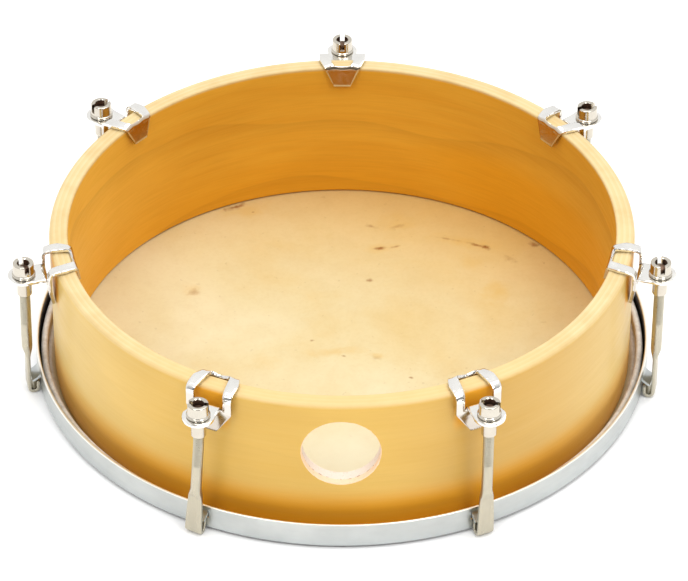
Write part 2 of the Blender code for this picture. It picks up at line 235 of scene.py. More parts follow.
# Sizes and places taken from the frame
shell_low, shell_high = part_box("shell")
shell_radius = shell_high.x
shell_inner = shell_radius - SHELL_WALL
shell_bottom = shell_low.z
bearing = (shell_radius - BEARING_ROUND, shell_bottom + BEARING_ROUND)
rim = shell_high.z
hole_height = rim - HOLE_BELOW_RIM
hoop_bottom, hoop_top = (corner.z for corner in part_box("counter_hoop"))
flesh_low, flesh_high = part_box("flesh_hoop")
flesh_outer = flesh_high.x
tuck_inner = flesh_outer - FLESH_WIDTH - GAP - SKIN
flange_inner = tuck_inner - FLANGE_LIP
hoop_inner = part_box("head_tuck")[1].x + HOOP_CLEARANCE
hoop_outer = hoop_inner + HOOP_SHEET
hook_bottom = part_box("tension_hook_1")[0].z
bracket_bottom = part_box("bracket_1")[0].z
nut_bottom, nut_top = (corner.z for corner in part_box("tuning_nut_1"))
lugs = [joint["pos_m"] for joint in frame["joints"] if joint["type"] == "hinge"]
lug_turns = [atan2(lug[1], lug[0]) for lug in lugs]
rod_axis = hypot(lugs[0][0], lugs[0][1])
rod_top = nut_top - ROD_SUNK
ear_top = lugs[0][2]
nut_seat = ear_top + GAP
leg_radius = shell_radius + LEG_STANDOFF
torn_radius = shell_radius - TORN_DEPTH


def srgb(red, green, blue):
    """A screen colour, 0 to 255, as the renderer's linear values."""
    channels = [value / 255 for value in (red, green, blue)]
    return tuple(v / 12.92 if v < 0.04045 else ((v + 0.055) / 1.055) ** 2.4 for v in channels) + (1.0,)


# Colours, as they look in even light; some, as noted, hold painted light or shade
WHITE = srgb(255, 255, 255)
OUTER_LIGHT = srgb(231, 191, 102)
OUTER_DEEP = srgb(228, 184, 90)
# Painted light: paler wood at the outer wall's sides
OUTER_SIDE_LIGHT = srgb(233, 203, 128)
# Painted shade: a darker tone on the outer wall's right front
OUTER_RIGHT_SHADE = srgb(240, 235, 240)
# Painted shade: deeper amber low on the outer wall's front, by the hoop
OUTER_FOOT_SHADE = srgb(240, 160, 6)
OUTER_SHADE = srgb(250, 172, 28)
INNER_LIGHT = srgb(231, 173, 56)
INNER_DEEP = srgb(224, 160, 42)
# Painted shade: deeper orange low on the right inside and near the hide
INNER_LOW_SHADE = srgb(229, 159, 20)
# Painted light: paler wood on the left inside
INNER_LEFT_LIGHT = srgb(250, 193, 74)
RING_LINE = srgb(206, 200, 190)
RING_START = srgb(252, 252, 252)
RING_END = srgb(222, 216, 206)
WOOD_FIBRE = srgb(232, 226, 216)
WOOD_CLOUD = srgb(230, 224, 210)
RIM_LIGHT = srgb(222, 200, 152)
RIM_MID = srgb(219, 195, 143)
RIM_LINE = srgb(216, 189, 135)
RIM_FRONT = srgb(222, 188, 124)
RIM_FIBRE = srgb(238, 226, 205)
RAW_INNER = srgb(234, 220, 205)
RAW_OUTER = srgb(246, 214, 178)
RAW_TORN = srgb(150, 112, 84)
RAW_CRUMB = srgb(200, 174, 146)
HIDE_LIGHT = srgb(221, 211, 175)
HIDE_MID = srgb(215, 202, 158)
HIDE_DEEP = srgb(210, 186, 126)
# Deeper hide towards one side: partly its own tone, partly painted shade
HIDE_DEEP_AND_SHADE = srgb(204, 162, 68)
HIDE_MOTTLE = srgb(232, 214, 184)
HIDE_GRAIN = srgb(232, 218, 194)
HIDE_PORE = srgb(150, 110, 70)
# Painted light: the pale patch on the hide's front
HIDE_PAINTED_LIGHT = srgb(232, 229, 198)
HIDE_STAIN = srgb(206, 168, 84)
HIDE_MARK = srgb(138, 84, 26)
TUCK_LIGHT = srgb(246, 243, 238)
TUCK_DEEP = srgb(212, 205, 196)
HOOP_TONE = srgb(199, 203, 202)
HOOP_DULL = srgb(187, 191, 190)
# Painted highlight along the hoop's top edge
HOOP_TOP_HIGHLIGHT = srgb(252, 248, 240)
# Painted shade on the hoop's face towards the hide
HOOP_INNER_SHADE = srgb(38, 32, 26)
FLESH_TONE = srgb(180, 178, 172)
HOOK_TONE = srgb(195, 189, 171)
BRACKET_TONE = srgb(243, 241, 236)
# Painted reflection of the wood on the brackets' inner tabs
TAB_REFLECTION = srgb(200, 178, 150)
# Painted shade on the brackets' legs and low parts
LEG_SHADE = srgb(206, 199, 190)
NUT_TONE = srgb(208, 201, 188)
# Painted shade in the nuts' bores, on the bore and the rod inside it
BORE_SHADE_TONE = srgb(126, 102, 86)
FLOOR_TONE = srgb(250, 250, 250)

# Where tones change: axis ("R" is the radius), from, to, and the share at each if not 0 and 1
AT_OUTER = ("R", shell_inner + 0.002, shell_radius - 0.003)
AT_RIM = ("Z", rim - 0.0022, rim - 0.0003)
AT_RIM_FRONT = ("Y", -0.95 * shell_radius, -0.5 * shell_radius, 0.6, 0.0)
AT_INNER_LEFT = ("X", -0.95 * shell_radius, -0.5 * shell_radius, 0.9, 0.0)
AT_INNER_RIGHT = ("X", 0.1 * shell_radius, 0.6 * shell_radius, 0.0, 0.8)
AT_INNER_LOW = ("Z", 0.4 * rim, 0.6 * rim, 1.0, 0.0)
AT_INNER_FOOT = ("Z", 0.05 * rim, 0.55 * rim, 0.5, 0.0)
AT_SIDES = ("Y", -0.9 * shell_radius, -0.45 * shell_radius, 0.0, 0.7)
AT_RIGHT = ("X", 0.0, 0.5 * shell_radius)
AT_RIGHT_END = ("X", 0.65 * shell_radius, 0.95 * shell_radius, 1.0, 0.35)
AT_FRONT = ("Y", -0.95 * shell_radius, -0.4 * shell_radius, 0.85, 0.5)
AT_FOOT = ("Z", hoop_top, 0.4 * rim, 1.0, 0.0)
AT_BRACKETS = ("Z", rim - 0.026, rim - 0.016)
AT_RAW_OUTER = ("R", torn_radius - 0.0003, torn_radius + 0.0003)
AT_TUCK = ("R", shell_radius, tuck_inner)
AT_HOOP_OUTER = ("R", hoop_inner + 0.0001, hoop_inner + 0.0005)
AT_HOOP_TOP = ("Z", hoop_top - 0.0007, hoop_top - 0.0003)
AT_PAST_TAB = ("R", shell_inner - BRACKET_SHEET, shell_inner)
AT_LEG_INNER = ("R", leg_radius - 0.002, leg_radius)
AT_LEG_OUTER = ("R", leg_radius + BRACKET_SHEET, leg_radius + EAR_FOLD, 1.0, 0.0)
AT_LEG_TOP = ("Z", rim - 0.004, rim - 0.001, 1.0, 0.0)
AT_LEG_LOW = ("Z", ear_top - 2 * EAR_FOLD, ear_top - EAR_FOLD, 1.0, 0.0)

# Wood's growth lines and plies; fades are from, to, and the share at each
RINGS_PER_METRE = 21.0
RING_DRIFT = 1.8
INNER_RINGS = 0.35
OUTER_RINGS = 0.08
PLY_WAVE = 0.0006
BEHIND_FADE = (0.008 / shell_radius, 0.013 / shell_radius, 0.85, 0.0)
TORN_FADE = (0.0001, 0.0007, 0.6, 0.0)

# Plated metal: how dull its clouds are, and how far its roughness spreads
CLOUD_DULLNESS = 0.8
ROUGHNESS_LEAST = 0.75
ROUGHNESS_MOST = 1.3

# Heights of fine relief
WOOD_RELIEF = 0.00003
RAW_RELIEF = 0.0003
HIDE_RELIEF = 0.00012
SCRATCH_RELIEF = 0.00002
HOOP_RELIEF = 0.00001

# The hide deepens towards this side, partly its own tone and partly painted shade from the back and right
# walls
DEEPER_SIDE = (0.45, 0.89, 0)
DEEPER_SIDE_WAVE = 0.08
DEEPER_SIDE_FADE = (0.04, 0.22, 0.0, 0.74)

# Marks in the hide: x, y, half-length, half-width, turn in degrees, depth; MARK_RAGGED breaks up their edges
MARK_RAGGED = 2.2
MARK_FULL = 1.0
MARK_END = 2.2
# Painted light: a pale patch on the hide's front that lifts the front wall's shadow
HIDE_LIT_PATCHES = (
    (0.0, -0.094, 0.08, 0.045, 0, 1.0),
)
HIDE_STAINS = (
    (0.0822, 0.0492, 0.01, 0.011, 0, 0.55),
    (0.0689, 0.0758, 0.012, 0.008, -30, 0.3),
    (0.068, 0.093, 0.024, 0.006, -18, 0.45),
    (-0.001, -0.0027, 0.02, 0.0045, 4, 0.4),
    (0.017, -0.005, 0.007, 0.004, -30, 0.5),
    (-0.0407, -0.0112, 0.01, 0.009, 0, 0.25),
    (0.03, 0.112, 0.013, 0.011, 25, 0.35),
    (-0.0515, 0.123, 0.02, 0.008, 15, 0.4),
    (0.022, 0.0885, 0.011, 0.005, 8, 0.35),
    (-0.079, 0.0507, 0.007, 0.007, 0, 0.3),
)
HIDE_MARKS = (
    (0.0201, 0.088, 0.005, 0.0017, 8, 0.9),
    (0.029, 0.0895, 0.004, 0.0012, 20, 0.6),
    (0.0159, 0.1079, 0.004, 0.0018, -20, 0.45),
    (0.03, 0.1075, 0.005, 0.002, 25, 0.35),
    (0.015, 0.0595, 0.0028, 0.0017, 0, 0.7),
    (0.0009, -0.0061, 0.0014, 0.0013, 0, 0.8),
    (-0.0159, 0.0072, 0.0014, 0.0012, 0, 0.7),
    (0.0357, -0.0241, 0.0016, 0.0012, 0, 0.85),
    (0.018, -0.0075, 0.004, 0.0022, -30, 0.22),
    (0.0564, 0.097, 0.0085, 0.0011, -16, 0.45),
    (0.0736, 0.0907, 0.0075, 0.0016, -24, 0.75),
    (0.0779, 0.0884, 0.003, 0.0022, -10, 0.75),
    (0.09, 0.079, 0.005, 0.003, -30, 0.3),
    (-0.0595, 0.1253, 0.0075, 0.0028, 24, 0.95),
    (-0.049, 0.1209, 0.0012, 0.001, 0, 0.9),
    (-0.0794, 0.0487, 0.0042, 0.0036, 30, 0.4),
    (0.104, 0.0917, 0.004, 0.0022, -38, 0.7),
    (0.1087, 0.0748, 0.001, 0.0014, 0, 0.6),
)


class Nodes:
    """A node tree, with what the looks and the studio share."""

    def __init__(self, tree):
        self.tree = tree

    def node(self, kind, inputs=None, **settings):
        made = self.tree.nodes.new("ShaderNode" + kind)
        for name, value in settings.items():
            setattr(made, name, value)
        for key, value in (inputs or {}).items():
            self.feed(made.inputs[key], value)
        return made

    def feed(self, socket, value):
        if isinstance(value, bpy.types.NodeSocket):
            self.tree.links.new(value, socket)
        else:
            socket.default_value = value

    def math(self, operation, first, second=0.0):
        return self.node("Math", {0: first, 1: second}, operation=operation).outputs[0]

    def vector(self, operation, first, second=(0, 0, 0), gives="Vector"):
        return self.node("VectorMath", {0: first, 1: second}, operation=operation).outputs[gives]

    def step(self, value, low, high, start=0.0, end=1.0):
        """From start to end as value goes from low to high, eased at both ends."""
        inputs = {"Value": value, "From Min": low, "From Max": high, "To Min": start, "To Max": end}
        return self.node("MapRange", inputs, interpolation_type="SMOOTHSTEP").outputs["Result"]


class Look(Nodes):
    """A Principled material made of linked nodes."""

    def __init__(self, name, **values):
        self.material = bpy.data.materials.new(name)
        self.material.use_nodes = True
        super().__init__(self.material.node_tree)
        self.shader = self.tree.nodes["Principled BSDF"]
        for socket, value in values.items():
            self.set(socket.replace("_", " "), value)
        self.place = self.node("TexCoord").outputs["Object"]

    def set(self, socket, value):
        self.feed(self.shader.inputs[socket], value)

    def axis(self, name):
        return self.node("SeparateXYZ", {0: self.place}).outputs[name]

    def radius(self):
        return self.vector("LENGTH", self.vector("MULTIPLY", self.place, (1, 1, 0)), gives="Value")

    def noise(self, per_metre, detail=4.0, roughness=0.55, distortion=0.0):
        """Clouds from 0 to 1, so many per metre, along all axes or along each."""
        each = per_metre if isinstance(per_metre, tuple) else (per_metre,) * 3
        inputs = {"Vector": self.vector("MULTIPLY", self.place, each), "Scale": 1.0, "Detail": detail,
                  "Roughness": roughness, "Distortion": distortion}
        return self.node("TexNoise", inputs).outputs["Fac"]

    def within(self, *places):
        """The share that these places give together."""
        share = None
        for axis, *fade in places:
            here = self.step(self.radius() if axis == "R" else self.axis(axis), *fade)
            share = self.math("MULTIPLY", share, here) if share else here
        return share

    def ramp(self, value, *stops):
        made = self.node("ValToRGB", {"Fac": value})
        elements = made.color_ramp.elements
        while len(elements) < len(stops):
            elements.new(0.5)
        for element, (position, colour) in zip(elements, stops):
            element.position = position
            element.color = colour
        return made.outputs["Color"]

    def mix(self, share, first, second, how="MIX"):
        made = self.node("Mix", {0: share, 6: first, 7: second}, data_type="RGBA", blend_type=how)
        return made.outputs[2]

    def shaded(self, colour, share, tone, value, low, high):
        """The colour with a share of tone over it where value is low."""
        return self.mix(share, colour, self.ramp(value, (low, tone), (high, WHITE)), "MULTIPLY")

    def gloss(self, marks, start, end):
        """Roughness from start to end over most of a noise's range."""
        self.set("Roughness", self.step(marks, 0.3, 0.7, start, end))

    def bump(self, height, distance):
        self.set("Normal", self.node("Bump", {"Height": height, "Distance": distance}).outputs["Normal"])


def wood_look():
    """Lacquered ply: amber outside, orange inside, pale edges on the rim."""
    look = Look("lacquered_ply", Coat_Roughness=0.16, Coat_IOR=1.45, Specular_IOR_Level=0.2)
    fibres = look.noise((45, 45, 950), detail=5, roughness=0.6)
    streaks = look.noise((9, 9, 120), distortion=0.4)
    clouds = look.noise((9, 9, 14), detail=2)
    rings = growth_rings(look)
    outer = look.within(AT_OUTER)
    wall = look.mix(outer, inner_wood(look, streaks, rings), outer_wood(look, streaks, rings))
    fibre_share = look.step(outer, low=0, high=1, start=0.3, end=0.12)
    wall = look.shaded(wall, fibre_share, WOOD_FIBRE, fibres, low=0.32, high=0.6)
    wall = look.shaded(wall, 0.6, WOOD_CLOUD, clouds, low=0.3, high=0.68)
    look.set("Base Color", look.mix(look.within(AT_RIM), wall, rim_wood(look)))
    look.gloss(fibres, start=0.5, end=0.4)
    look.set("Coat Weight", look.step(outer, low=0, high=1, start=0.02, end=0.15))
    look.bump(look.math("ADD", fibres, streaks), WOOD_RELIEF)
    return look.material


def growth_rings(look):
    """Growth lines of the veneer, drifting up and down the wall."""
    drift = look.math("MULTIPLY", look.noise((4.2, 4.2, 5.0), detail=2), RING_DRIFT)
    climb = look.math("MULTIPLY", look.axis("Z"), RINGS_PER_METRE)
    rings = look.math("FRACT", look.math("ADD", climb, drift))
    return look.ramp(rings, (0.0, RING_LINE), (0.03, RING_START), (0.8, WHITE), (1.0, RING_END))


def inner_wood(look, streaks, rings):
    """The wall's inside: paler on the left with painted light, deeper with painted shade low on the right
    and near the hide.
    """
    wood = look.ramp(streaks, (0.25, INNER_DEEP), (0.75, INNER_LIGHT))
    # Painted light: paler on the left
    wood = look.mix(look.within(AT_INNER_LEFT), wood, INNER_LEFT_LIGHT)
    # Painted shade: deeper low on the right and near the hide
    low = look.math("MAXIMUM", look.within(AT_INNER_RIGHT, AT_INNER_LOW), look.within(AT_INNER_FOOT))
    wood = look.mix(low, wood, INNER_LOW_SHADE)
    return look.mix(INNER_RINGS, wood, rings, "MULTIPLY")


def outer_wood(look, streaks, rings):
    """The wall's outside: paler at the sides with painted light, deeper with painted shade on the right, low
    down at the front and behind brackets.
    """
    wood = look.ramp(streaks, (0.25, OUTER_DEEP), (0.75, OUTER_LIGHT))
    # Painted light: paler at the sides
    wood = look.mix(look.within(AT_SIDES), wood, OUTER_SIDE_LIGHT)
    # Painted shade: darker on the right front
    wood = look.mix(look.within(AT_RIGHT, AT_RIGHT_END), wood, OUTER_RIGHT_SHADE, "MULTIPLY")
    # Painted shade: deeper low down at the front
    wood = look.mix(look.within(AT_FRONT, AT_FOOT), wood, OUTER_FOOT_SHADE)
    turn = look.math("ARCTAN2", look.axis("Y"), look.axis("X"))
    past_lug = look.math("PINGPONG", look.math("SUBTRACT", turn, lug_turns[0]), pi / len(lugs))
    behind = look.step(past_lug, *BEHIND_FADE)
    wood = look.mix(look.math("MULTIPLY", behind, look.within(AT_BRACKETS)), wood, OUTER_SHADE)
    return look.mix(OUTER_RINGS, wood, rings, "MULTIPLY")


def rim_wood(look):
    """The plies' edges on the rim: pairs of pale bands with fine lines between."""
    wave = look.math("MULTIPLY", look.noise(14, detail=2), PLY_WAVE)
    plies = look.math("FRACT", look.math("DIVIDE", look.math("ADD", look.radius(), wave), 2 * PLY))
    bands = look.ramp(plies, (0.0, RIM_LINE), (0.08, RIM_LIGHT), (0.46, RIM_LIGHT),
                      (0.54, RIM_MID), (0.92, RIM_MID), (1.0, RIM_LINE))
    wood = look.shaded(bands, 0.5, RIM_FIBRE, look.noise(60, detail=5), low=0.35, high=0.6)
    return look.mix(look.within(AT_RIM_FRONT), wood, RIM_FRONT)


def raw_wood_look():
    """Bare ply in the grip hole: two pale bands with a torn line between them."""
    look = Look("raw_ply", Roughness=0.85)
    crumbs = look.noise(900, detail=3)
    tears = look.noise(420, detail=3)
    wood = look.mix(look.within(AT_RAW_OUTER), RAW_INNER, RAW_OUTER)
    wood = look.shaded(wood, 0.3, RAW_CRUMB, crumbs, low=0.3, high=0.42)
    off_line = look.math("ABSOLUTE", look.math("SUBTRACT", look.radius(), torn_radius))
    torn = look.math("MULTIPLY", look.step(off_line, *TORN_FADE), look.step(tears, low=0.54, high=0.6))
    look.set("Base Color", look.mix(torn, wood, RAW_TORN))
    look.bump(crumbs, RAW_RELIEF)
    return look.material


def hide_look():
    """Natural hide: clouded cream with stains and specks, greyer where it is tucked."""
    look = Look("natural_hide")
    mottle = look.noise(60, detail=5, roughness=0.6)
    grain = look.noise(520, detail=3)
    tucked = look.ramp(look.noise(240), (0.3, TUCK_DEEP), (0.7, TUCK_LIGHT))
    look.set("Base Color", look.mix(look.within(AT_TUCK), hide_face(look, mottle, grain), tucked))
    look.gloss(mottle, start=0.62, end=0.48)
    look.bump(look.math("ADD", mottle, look.math("MULTIPLY", grain, 0.3)), HIDE_RELIEF)
    return look.material


def hide_face(look, mottle, grain):
    """The playing face: clouds, deeper to one side with its own tone and painted shade, then pores, a pale
    patch of painted light at the front and marks.
    """
    clouds = look.noise(11, distortion=0.5)
    face = look.ramp(clouds, (0.28, HIDE_DEEP), (0.5, HIDE_MID), (0.74, HIDE_LIGHT))
    # Deeper to one side: partly the hide's own tone, partly painted shade
    to_deeper_side = look.vector("DOT_PRODUCT", look.place, DEEPER_SIDE, gives="Value")
    uneven = look.math("ADD", to_deeper_side, look.math("MULTIPLY", clouds, DEEPER_SIDE_WAVE))
    face = look.mix(look.step(uneven, *DEEPER_SIDE_FADE), face, HIDE_DEEP_AND_SHADE)
    face = look.shaded(face, 0.15, HIDE_MOTTLE, mottle, low=0.34, high=0.58)
    face = look.shaded(face, 0.12, HIDE_GRAIN, grain, low=0.3, high=0.55)
    face = look.shaded(face, 0.14, HIDE_PORE, look.noise(330, detail=1), low=0.22, high=0.27)
    # Painted light: a pale patch on the front of the hide
    soft = look.step(mottle, low=0.0, high=1.0, start=0.35, end=0.65)
    face = look.mix(hide_marks(look, HIDE_LIT_PATCHES, soft), face, HIDE_PAINTED_LIGHT)
    face = look.mix(hide_marks(look, HIDE_STAINS, look.noise(90, detail=5)), face, HIDE_STAIN)
    return look.mix(hide_marks(look, HIDE_MARKS, look.noise(260, detail=5)), face, HIDE_MARK)


def hide_marks(look, marks, ragged):
    """How strong these marks are at each point; ragged breaks up their edges."""
    broken = look.math("MULTIPLY", ragged, MARK_RAGGED)
    total = 0.0
    for x, y, half_length, half_width, turn, depth in marks:
        turned_back = {"Vector": look.vector("SUBTRACT", look.place, (x, y, 0)), "Angle": radians(-turn)}
        straight = look.node("VectorRotate", turned_back, rotation_type="Z_AXIS").outputs[0]
        scaled = look.vector("MULTIPLY", straight, (1 / half_length, 1 / half_width, 0))
        reach = look.vector("LENGTH", scaled, gives="Value")
        mark = look.step(look.math("ADD", reach, broken), MARK_FULL, MARK_END, depth, 0.0)
        total = look.math("ADD", mark, total)
    return total


def metal_look(name, tone, roughness, clouds, scratches, wear=0.5, places=None):
    """Plated metal with so many clouds and scratches per metre; places can change its tone."""
    look = Look(name, Metallic=1.0)
    marks = look.noise(scratches)
    dull = tuple(channel * CLOUD_DULLNESS for channel in tone[:3]) + (1.0,)
    plate = look.mix(wear, tone, look.ramp(look.noise(clouds, detail=3), (0.3, dull), (0.7, tone)))
    look.set("Base Color", places(look, plate) if places else plate)
    look.gloss(marks, roughness * ROUGHNESS_LEAST, roughness * ROUGHNESS_MOST)
    look.bump(marks, SCRATCH_RELIEF)
    return look.material


def bracket_places(look, plate):
    """A bracket's plate: brown with a painted reflection of the wood inside the shell, darker with painted
    shade on its leg and low down.
    """
    # Painted reflection: wood-brown inside the shell
    plate = look.mix(look.within(AT_PAST_TAB), TAB_REFLECTION, plate)
    # Painted shade: darker on the leg and low down
    standing = look.within(AT_LEG_INNER, AT_LEG_OUTER, AT_LEG_TOP)
    return look.mix(look.math("MAXIMUM", standing, look.within(AT_LEG_LOW)), plate, LEG_SHADE)


def hoop_look():
    """Galvanised band: clouded grey outside, with painted shade where it faces the hide and a painted
    highlight along its top.
    """
    look = Look("galvanised_steel")
    marks = look.noise((40, 40, 1400))
    zinc = look.ramp(look.noise((55, 55, 90), detail=3), (0.3, HOOP_DULL), (0.7, HOOP_TONE))
    # The second mask marks the painted highlight along the hoop's top edge
    outer, edge = look.within(AT_HOOP_OUTER), look.within(AT_HOOP_TOP)
    # Painted shade darkens the face towards the hide, and a painted highlight brightens the top edge
    look.set("Base Color", look.mix(edge, look.mix(outer, HOOP_INNER_SHADE, zinc), HOOP_TOP_HIGHLIGHT))
    look.set("Metallic", look.math("MAXIMUM", outer, edge))
    look.gloss(marks, start=0.28, end=0.4)
    look.bump(marks, HOOP_RELIEF)
    return look.material


def between(first, second, share):
    """A value part of the way from one to another."""
    return first + (second - first) * share


def shares(steps, first=0):
    """Equal steps up to 1."""
    return [i / steps for i in range(first, steps + 1)]


def arc(centre, radius, start, end, steps):
    """Points (r, z) on an arc between two angles in degrees."""
    turns = [radians(between(start, end, t)) for t in shares(steps)]
    return [(centre[0] + radius * cos(a), centre[1] + radius * sin(a)) for a in turns]


def run(points, end, steps):
    """The points, then a straight run of steps to end."""
    r, z = points[-1]
    return points + [(between(r, end[0], t), between(z, end[1], t)) for t in shares(steps, 1)]


def curve(controls, steps):
    """Points on a cubic curve with these four control points."""
    points = []
    for t in shares(steps):
        pulls = ((1 - t) ** 3, 3 * t * (1 - t) ** 2, 3 * t * t * (1 - t), t ** 3)
        points.append(tuple(sum(p * c[axis] for p, c in zip(pulls, controls)) for axis in (0, 1)))
    return points


def thicken(path, thickness):
    """The outline of a sheet along a path of (r, z) points."""
    left, right = [], []
    for i, (r, z) in enumerate(path):
        before = path[max(i - 1, 0)]
        after = path[min(i + 1, len(path) - 1)]
        along, up = after[0] - before[0], after[1] - before[1]
        share = thickness / 2 / hypot(along, up)
        left.append((r - up * share, z + along * share))
        right.append((r + up * share, z - along * share))
    return right + left[::-1]


def to_mesh(name, bm):
    """Close a bmesh into a mesh with outward faces."""
    bmesh.ops.remove_doubles(bm, verts=bm.verts, dist=WELD)
    bmesh.ops.recalc_face_normals(bm, faces=bm.faces)
    mesh = bpy.data.meshes.new(name)
    bm.to_mesh(mesh)
    bm.free()
    return mesh


def turned(name, profile, sides=RING_SEGMENTS, closed=True):
    """A mesh turned about Z from a profile of (r, z) points."""
    bm = bmesh.new()
    points = [bm.verts.new((r, 0, z)) for r, z in profile]
    ends = points[1:] + points[:1] if closed else points[1:]
    outline = points + [bm.edges.new(pair) for pair in zip(points, ends)]
    bmesh.ops.spin(bm, geom=outline, cent=(0, 0, 0), axis=(0, 0, 1), angle=tau, steps=sides, use_merge=True)
    return to_mesh(name, bm)


def add_grid(bm, rows):
    """Quads between rows of equally many points."""
    rings = [[bm.verts.new(p) for p in row] for row in rows]
    for lower, upper in zip(rings, rings[1:]):
        for i in range(len(lower) - 1):
            bm.faces.new((lower[i], lower[i + 1], upper[i + 1], upper[i]))


def lofted(name, rings):
    """A closed mesh through rings of points, with flat ends."""
    bm = bmesh.new()
    add_grid(bm, [ring + ring[:1] for ring in rings])
    bmesh.ops.remove_doubles(bm, verts=bm.verts, dist=WELD)
    bmesh.ops.holes_fill(bm, edges=[edge for edge in bm.edges if edge.is_boundary])
    return to_mesh(name, bm)


def add_prism(bm, outline, half_width, turn):
    """Extrude an (r, z) outline sideways and turn it about Z."""
    face = bm.faces.new([bm.verts.new((r, -half_width, z)) for r, z in outline])
    side = bmesh.ops.extrude_face_region(bm, geom=[face])
    moved = [part for part in side["geom"] if isinstance(part, bmesh.types.BMVert)]
    bmesh.ops.translate(bm, verts=moved, vec=(0, 2 * half_width, 0))
    both = list(face.verts) + moved
    bmesh.ops.rotate(bm, verts=both, cent=(0, 0, 0), matrix=Matrix.Rotation(turn, 3, "Z"))


def loose(name, mesh):
    """An object in the scene that isn't a piece yet."""
    made = bpy.data.objects.new(name, mesh)
    bpy.context.scene.collection.objects.link(made)
    return made


def combine(piece, tool_mesh, operation):
    """Cut a piece with a mesh, or join the mesh to it."""
    tool = loose(piece.name + "_tool", tool_mesh)
    reshape(piece, "BOOLEAN", object=tool, operation=operation, solver="EXACT")
    bpy.data.objects.remove(tool, do_unlink=True)


def reshape(piece, kind, **settings):
    """Add a modifier with these settings and apply it."""
    step = piece.modifiers.new(kind, kind)
    for name, value in settings.items():
        setattr(step, name, value)
    bpy.context.view_layer.update()
    shaped = piece.evaluated_get(bpy.context.evaluated_depsgraph_get())
    mesh = bpy.data.meshes.new_from_object(shaped)
    piece.modifiers.clear()
    piece.data = mesh


def mesh_of(piece):
    """The mesh of an object that was only needed to shape it."""
    mesh = piece.data
    bpy.data.objects.remove(piece, do_unlink=True)
    return mesh


def smooth(mesh, angle=SHARP_EDGE):
    mesh.shade_smooth()
    mesh.set_sharp_from_angle(angle=angle)


def second_finish(mesh, is_second):
    """Give the faces that pass a test the second material."""
    mesh.materials.append(None)
    mesh.materials.append(None)
    for face in mesh.polygons:
        face.material_index = int(is_second(face))


def dress(piece, slot, nodes, *materials):
    """Give a piece its finish, and hide the solids that it stands for."""
    faces = [face.material_index for face in piece.data.polygons]
    piece.data.materials.clear()
    for material in materials:
        piece.data.materials.append(material)
    piece.data.polygons.foreach_set("material_index", faces)
    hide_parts(*nodes)


def at_lugs(name, meshes, slot, node, body, *materials):
    """A mesh turned to each lug; {} in node and body is the lug's number."""
    for number, (mesh, turn) in enumerate(zip(meshes, lug_turns), 1):
        mesh.transform(Matrix.Rotation(turn, 4, "Z"))
        piece = loose(f"{name}_{number}", mesh)
        dress(piece, slot, [node.format(number)], *materials)
        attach(piece, body.format(number))


def make_shell():
    """Bent ply with a soft outer rim, a crisp inner one and a grip hole."""
    outer_edge = (shell_radius - RIM_OUTER_ROUND, rim - RIM_OUTER_ROUND)
    inner_edge = (shell_inner + RIM_INNER_ROUND, rim - RIM_INNER_ROUND)
    profile = arc(bearing, BEARING_ROUND, -90, 0, steps=6)
    profile = run(profile, (shell_radius, outer_edge[1]), WALL_ROWS)
    profile += arc(outer_edge, RIM_OUTER_ROUND, 0, 90, steps=8)[1:]
    profile = run(profile, (inner_edge[0], rim), steps=4)
    profile += arc(inner_edge, RIM_INNER_ROUND, 90, 180, steps=5)[1:]
    profile = run(profile, (shell_inner, shell_bottom + BEARING_BEVEL), WALL_ROWS)
    profile += [(shell_inner + BEARING_BEVEL, shell_bottom)]
    shell = loose("ply_shell", turned("ply_shell", profile))
    combine(shell, hole_cutter(), "DIFFERENCE")
    smooth(shell.data)
    second_finish(shell.data, in_grip_hole)
    dress(shell, "shell_wood", ["shell"], wood_look(), raw_wood_look())
    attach(shell, "shell_body")


def in_grip_hole(face):
    """Whether a face of the shell is in the bore."""
    bored_out = Vector((cos(HOLE_ANGLE), sin(HOLE_ANGLE), 0))
    across = face.center.cross(bored_out).z
    off_axis = hypot(face.center.z - hole_height, across)
    near = off_axis < HOLE_RADIUS + HOLE_EDGE + HOLE_CHIP + CUTTER_REACH
    return near and face.center.dot(bored_out) > 0 and abs(face.normal.dot(bored_out)) < FACES_OUT


def hole_cutter():
    """The bore of the grip hole, flared at its chipped edges."""
    rings = []
    for wall, side, chip in ((shell_radius, 1, HOLE_CHIP), (shell_inner, -1, 0)):
        flare, bore = [], []
        for i in range(HOLE_STEPS):
            a = tau * i / HOLE_STEPS
            spot = Vector((CHIP_WAVES * cos(a), CHIP_WAVES * sin(a), CHIP_LAYER * side))
            edge = HOLE_EDGE + chip * max(noise.noise(spot) + CHIP_LEVEL, 0) ** 2
            flare.append(hole_point(a, wall, HOLE_RADIUS + edge + CUTTER_REACH, side * CUTTER_REACH))
            bore.append(hole_point(a, wall, HOLE_RADIUS, -side * edge))
        rings += [flare, bore] if side > 0 else [bore, flare]
    return lofted("grip_hole_bore", rings)


def hole_point(angle, wall, reach, depth):
    """A point round the grip hole, at a depth out from the wall's curved face."""
    across = reach * cos(angle)
    out = sqrt(wall ** 2 - across ** 2) + depth
    spot = Vector((out, across, hole_height + reach * sin(angle)))
    return Matrix.Rotation(HOLE_ANGLE, 3, "Z") @ spot


